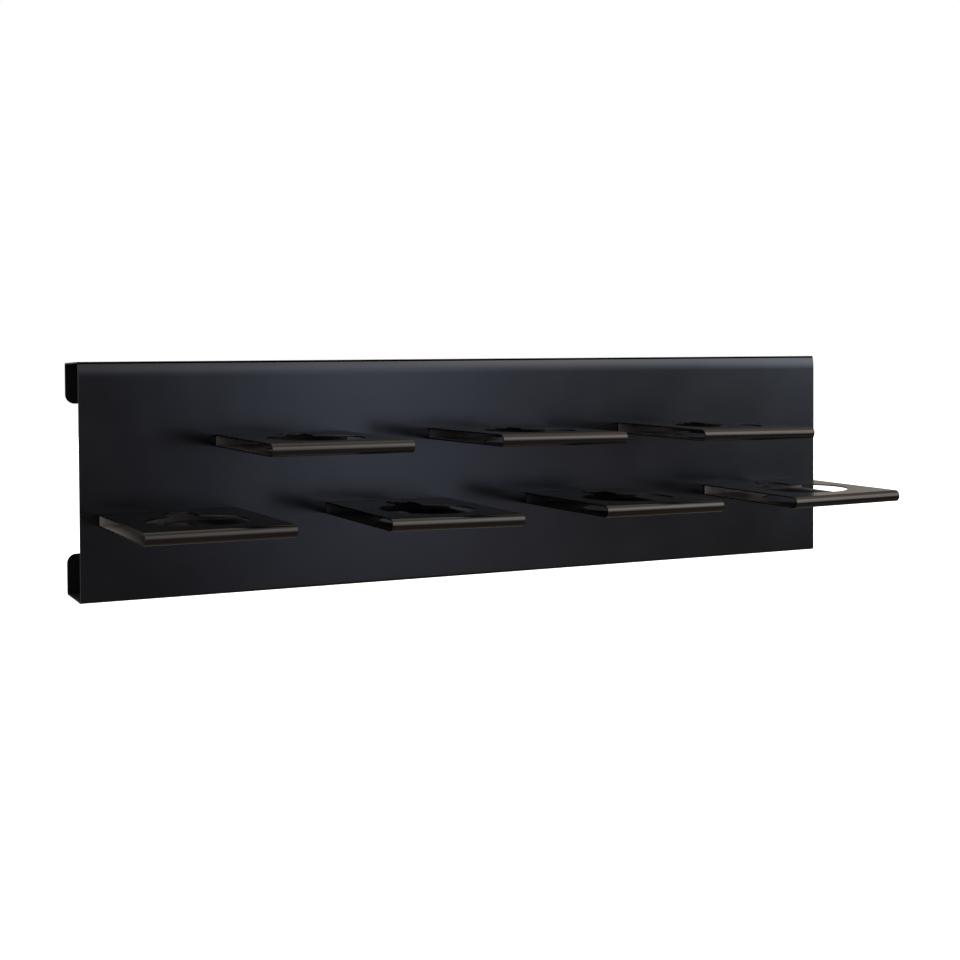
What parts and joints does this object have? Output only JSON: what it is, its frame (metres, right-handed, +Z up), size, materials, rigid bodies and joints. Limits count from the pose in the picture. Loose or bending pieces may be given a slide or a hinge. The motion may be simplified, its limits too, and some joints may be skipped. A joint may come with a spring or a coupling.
{
  "type": "tool holder wall panel",
  "caption": "Folded sheet-metal wall panel with two staggered rows of flat holders, each with a keyhole cut-out that carries a hand tool.",
  "frame": {"origin": "on the wall plane, midway along the panel, level with the seats of the upper hanging slots", "axes": "+X along the panel to the right as seen from the front, +Y into the wall, +Z up; the front faces -Y"},
  "size_m": [0.94, 0.251, 0.2498],
  "materials": {
    "panel_coat": "satin near-black powder coat on sheet steel, fine orange-peel texture",
    "holder_coat": "satin near-black powder coat on sheet steel, slightly smoother and warmer than the panel",
    "plated_steel": "bright zinc plate"
  },
  "bodies": {
    "root": {"wall_panel": "panel_coat", "tool_holder_lower_1": "holder_coat", "tool_holder_lower_2": "holder_coat", "tool_holder_lower_3": "holder_coat", "tool_holder_lower_4": "holder_coat", "tool_holder_upper_1": "holder_coat", "tool_holder_upper_2": "holder_coat", "tool_holder_upper_3": "holder_coat", "weld_stud_lower_1_left": "plated_steel", "washer_lower_1_left": "plated_steel", "hex_nut_lower_1_left": "plated_steel", "weld_stud_lower_1_right": "plated_steel", "washer_lower_1_right": "plated_steel", "hex_nut_lower_1_right": "plated_steel", "weld_stud_lower_2_left": "plated_steel", "washer_lower_2_left": "plated_steel", "hex_nut_lower_2_left": "plated_steel", "weld_stud_lower_2_right": "plated_steel", "washer_lower_2_right": "plated_steel", "hex_nut_lower_2_right": "plated_steel", "weld_stud_lower_3_left": "plated_steel", "washer_lower_3_left": "plated_steel", "hex_nut_lower_3_left": "plated_steel", "weld_stud_lower_3_right": "plated_steel", "washer_lower_3_right": "plated_steel", "hex_nut_lower_3_right": "plated_steel", "weld_stud_lower_4_left": "plated_steel", "washer_lower_4_left": "plated_steel", "hex_nut_lower_4_left": "plated_steel", "weld_stud_lower_4_right": "plated_steel", "washer_lower_4_right": "plated_steel", "hex_nut_lower_4_right": "plated_steel", "weld_stud_upper_1_left": "plated_steel", "washer_upper_1_left": "plated_steel", "hex_nut_upper_1_left": "plated_steel", "weld_stud_upper_1_right": "plated_steel", "washer_upper_1_right": "plated_steel", "hex_nut_upper_1_right": "plated_steel", "weld_stud_upper_2_left": "plated_steel", "washer_upper_2_left": "plated_steel", "hex_nut_upper_2_left": "plated_steel", "weld_stud_upper_2_right": "plated_steel", "washer_upper_2_right": "plated_steel", "hex_nut_upper_2_right": "plated_steel", "weld_stud_upper_3_left": "plated_steel", "washer_upper_3_left": "plated_steel", "hex_nut_upper_3_left": "plated_steel", "weld_stud_upper_3_right": "plated_steel", "washer_upper_3_right": "plated_steel", "hex_nut_upper_3_right": "plated_steel"}
  },
  "joints": []
}
